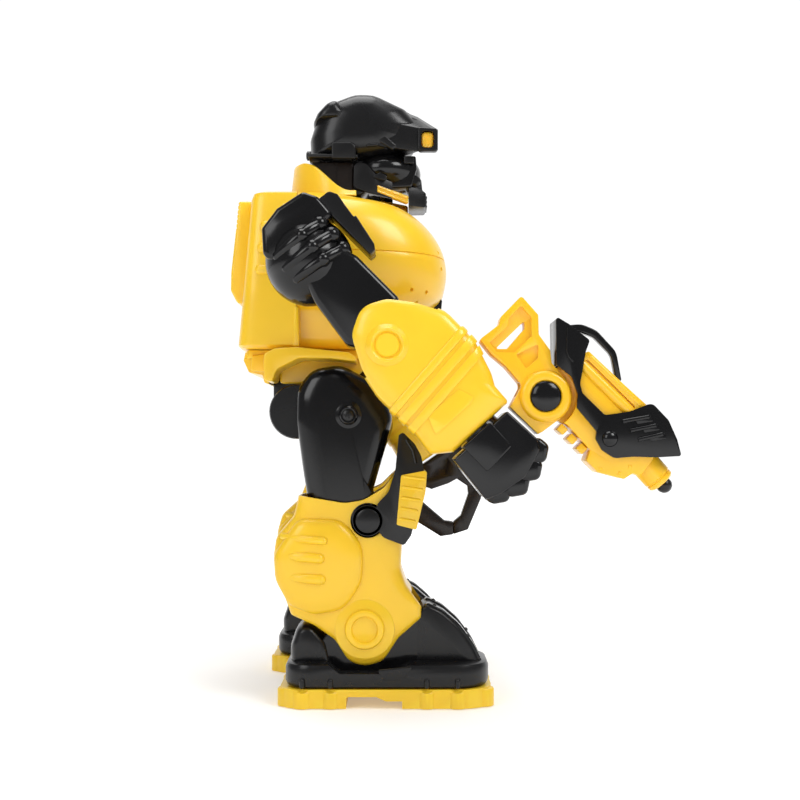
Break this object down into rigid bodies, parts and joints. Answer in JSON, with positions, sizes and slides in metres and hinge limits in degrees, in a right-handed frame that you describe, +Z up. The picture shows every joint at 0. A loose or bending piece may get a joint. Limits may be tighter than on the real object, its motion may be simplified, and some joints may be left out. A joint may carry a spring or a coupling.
{
  "type": "walking humanoid robot toy",
  "caption": "Battery walking toy robot: shell body, turning head, jointed arms with a dart blaster and a claw hand, and legs on a cranked gearbox.",
  "frame": {"origin": "on the ground under the middle of the robot", "axes": "+X forward, the way the robot walks; +Y to the robot's left; +Z up"},
  "size_m": [0.2087, 0.1948, 0.3013],
  "materials": {
    "yellow_shell": "glossy moulded plastic",
    "yellow_sole": "semi-gloss moulded plastic",
    "yellow_blaster": "glossy moulded plastic, slightly more orange",
    "black_gloss": "polished black moulded plastic",
    "black_satin": "satin black moulded plastic",
    "amber_lens": "translucent amber plastic",
    "steel": "drawn steel",
    "battery_sleeve": "plain printed sleeve",
    "nylon_gear": "natural nylon",
    "board": "solder mask",
    "dart_black": "soft black plastic"
  },
  "bodies": {
    "torso": {"torso_front_shell": "yellow_shell", "torso_rear_shell": "yellow_shell", "collar_ring": "yellow_shell", "battery_door": "yellow_shell", "battery_1": "battery_sleeve", "battery_2": "battery_sleeve", "battery_3": "battery_sleeve", "circuit_board": "board", "speaker": "black_satin", "abdomen_panel": "black_satin", "pelvis_shell": "yellow_shell", "gearbox_case": "black_satin", "motor": "steel", "hip_axle": "steel"},
    "head": {"helmet_shell": "black_satin", "face_mask": "black_gloss", "jaw_guard": "black_satin", "lamp_lens": "amber_lens", "mouth_grille": "amber_lens"},
    "switch": {"power_switch": "black_satin"},
    "crank": {"crank_shaft": "nylon_gear"},
    "idler": {"intermediate_gear": "nylon_gear"},
    "pinion": {"motor_pinion": "nylon_gear"},
    "arm_right": {"upper_arm_front_right": "black_gloss", "upper_arm_rear_right": "black_gloss", "shoulder_peg_right": "black_satin"},
    "forearm_right": {"forearm_outer_right": "yellow_shell", "forearm_inner_right": "yellow_shell"},
    "hand_right": {"right_hand": "black_gloss", "blaster_stock": "yellow_blaster"},
    "blaster_front": {"blaster_barrel": "yellow_blaster", "blaster_cover": "black_gloss", "blaster_pivot_pin": "black_gloss"},
    "dart": {"dart": "dart_black"},
    "arm_left": {"upper_arm_front_left": "black_gloss", "upper_arm_rear_left": "black_gloss", "shoulder_peg_left": "black_satin"},
    "forearm_left": {"forearm_outer_left": "yellow_shell", "forearm_inner_left": "yellow_shell"},
    "claw": {"claw_base": "black_satin"},
    "claw_front": {"claw_finger_front": "black_satin"},
    "claw_rear": {"claw_finger_rear": "black_satin"},
    "thigh_right": {"thigh_outer_right": "black_gloss", "thigh_inner_right": "black_gloss"},
    "shin_right": {"shin_outer_right": "yellow_shell", "shin_inner_right": "yellow_shell"},
    "guard_right": {"knee_guard_right": "black_satin", "knee_insert_right": "yellow_shell"},
    "foot_right": {"foot_shell_right": "black_satin", "sole_right": "yellow_sole"},
    "roller_right": {"foot_roller_right": "dart_black"},
    "thigh_left": {"thigh_outer_left": "black_gloss", "thigh_inner_left": "black_gloss"},
    "shin_left": {"shin_outer_left": "yellow_shell", "shin_inner_left": "yellow_shell"},
    "guard_left": {"knee_guard_left": "black_satin", "knee_insert_left": "yellow_shell"},
    "foot_left": {"foot_shell_left": "black_satin", "sole_left": "yellow_sole"},
    "roller_left": {"foot_roller_left": "dart_black"}
  },
  "joints": [
    {"name": "head_turn", "type": "hinge", "parent": "torso", "child": "head", "pos_m": [-0.045, 0, 0.25], "axis": [0, 0, 1], "range_deg": [-33, 33]},
    {"name": "shoulder_right", "type": "hinge", "parent": "torso", "child": "arm_right", "pos_m": [-0.0609, -0.077, 0.2048], "axis": [0, -1, 0], "range_deg": [-20, 110]},
    {"name": "elbow_right", "type": "hinge", "parent": "arm_right", "child": "forearm_right", "pos_m": [-0.0255, -0.081, 0.1656], "axis": [0, -1, 0], "range_deg": [-5, 38]},
    {"name": "wrist_right", "type": "hinge", "parent": "forearm_right", "child": "hand_right", "pos_m": [0.0155, -0.081, 0.13], "axis": [0.7549, 0, -0.6559], "range_deg": [-18, 18]},
    {"name": "blaster_hinge", "type": "hinge", "parent": "hand_right", "child": "blaster_front", "pos_m": [0.0445, -0.081, 0.1436], "axis": [0, -1, 0], "range_deg": [-16, 0]},
    {"name": "dart_slide", "type": "slide", "parent": "blaster_front", "child": "dart", "axis": [0.6733, 0, -0.7394], "range_m": [0, 0.016]},
    {"name": "shoulder_left", "type": "hinge", "parent": "torso", "child": "arm_left", "pos_m": [-0.0609, 0.077, 0.2048], "axis": [0, -1, 0], "range_deg": [-20, 110]},
    {"name": "elbow_left", "type": "hinge", "parent": "arm_left", "child": "forearm_left", "pos_m": [-0.03145, 0.081, 0.16095], "axis": [0, -1, 0], "range_deg": [-5, 38]},
    {"name": "wrist_left", "type": "hinge", "parent": "forearm_left", "child": "claw", "pos_m": [0.00405, 0.081, 0.11987], "axis": [0.6536, 0, -0.7568], "range_deg": [-13, 28]},
    {"name": "claw_open", "type": "hinge", "parent": "claw", "child": "claw_front", "pos_m": [0.017, 0.081, 0.1065], "axis": [0, -1, 0], "range_deg": [0, 30]},
    {"name": "claw_open_rear", "type": "hinge", "parent": "claw", "child": "claw_rear", "pos_m": [-0.009, 0.081, 0.1005], "axis": [0, -1, 0], "range_deg": [-30.5, 0.5]},
    {"name": "crank_spin", "type": "hinge", "parent": "torso", "child": "crank", "pos_m": [-0.07054, 0, 0.13973], "axis": [0, -1, 0], "continuous": true},
    {"name": "idler_spin", "type": "hinge", "parent": "torso", "child": "idler", "pos_m": [-0.059, 0, 0.15117], "axis": [0, -1, 0], "continuous": true},
    {"name": "motor_spin", "type": "hinge", "parent": "torso", "child": "pinion", "pos_m": [-0.0464, 0, 0.151], "axis": [0, -1, 0], "continuous": true},
    {"name": "power_switch_slide", "type": "slide", "parent": "torso", "child": "switch", "axis": [0, 1, 0], "range_m": [0, 0.004]},
    {"name": "hip_right", "type": "hinge", "parent": "torso", "child": "thigh_right", "pos_m": [-0.0443, -0.042, 0.136], "axis": [0, -1, 0], "range_deg": [-9.9, 4.1]},
    {"name": "knee_right", "type": "hinge", "parent": "thigh_right", "child": "shin_right", "pos_m": [-0.035, -0.042, 0.0868], "axis": [0, -1, 0], "range_deg": [-3.61, 1.53]},
    {"name": "ankle_right", "type": "hinge", "parent": "shin_right", "child": "foot_right", "pos_m": [-0.0365, -0.042, 0.036], "axis": [0, -1, 0], "range_deg": [-5.63, 13.51]},
    {"name": "knee_guard_right", "type": "hinge", "parent": "shin_right", "child": "guard_right", "pos_m": [-0.035, -0.042, 0.0868], "axis": [0, -1, 0], "range_deg": [-8, 4]},
    {"name": "roller_spin_right", "type": "hinge", "parent": "foot_right", "child": "roller_right", "pos_m": [0, -0.042, 0.0047], "axis": [0, 1, 0], "continuous": true},
    {"name": "hip_left", "type": "hinge", "parent": "torso", "child": "thigh_left", "pos_m": [-0.0443, 0.042, 0.136], "axis": [0, -1, 0], "range_deg": [-4.15, 9.95]},
    {"name": "knee_left", "type": "hinge", "parent": "thigh_left", "child": "shin_left", "pos_m": [-0.04003, 0.042, 0.08611], "axis": [0, -1, 0], "range_deg": [-1.53, 3.61]},
    {"name": "ankle_left", "type": "hinge", "parent": "shin_left", "child": "foot_left", "pos_m": [-0.0485, 0.042, 0.036], "axis": [0, -1, 0], "range_deg": [-13.51, 5.63]},
    {"name": "knee_guard_left", "type": "hinge", "parent": "shin_left", "child": "guard_left", "pos_m": [-0.04003, 0.042, 0.08611], "axis": [0, -1, 0], "range_deg": [-2, 9]},
    {"name": "roller_spin_left", "type": "hinge", "parent": "foot_left", "child": "roller_left", "pos_m": [-0.012, 0.042, 0.0047], "axis": [0, 1, 0], "continuous": true}
  ],
  "couplings": [
    {"joint": "claw_open_rear", "follows": "claw_open", "ratio": -1},
    {"joint": "idler_spin", "follows": "crank_spin", "ratio": -2.25},
    {"joint": "motor_spin", "follows": "crank_spin", "ratio": 5.625},
    {"joint": "knee_right", "follows": "hip_right", "ratio": 0.36},
    {"joint": "ankle_right", "follows": "hip_right", "ratio": -1.36},
    {"joint": "hip_left", "follows": "hip_right", "ratio": -1},
    {"joint": "knee_left", "follows": "hip_right", "ratio": -0.36},
    {"joint": "ankle_left", "follows": "hip_right", "ratio": 1.36}
  ]
}
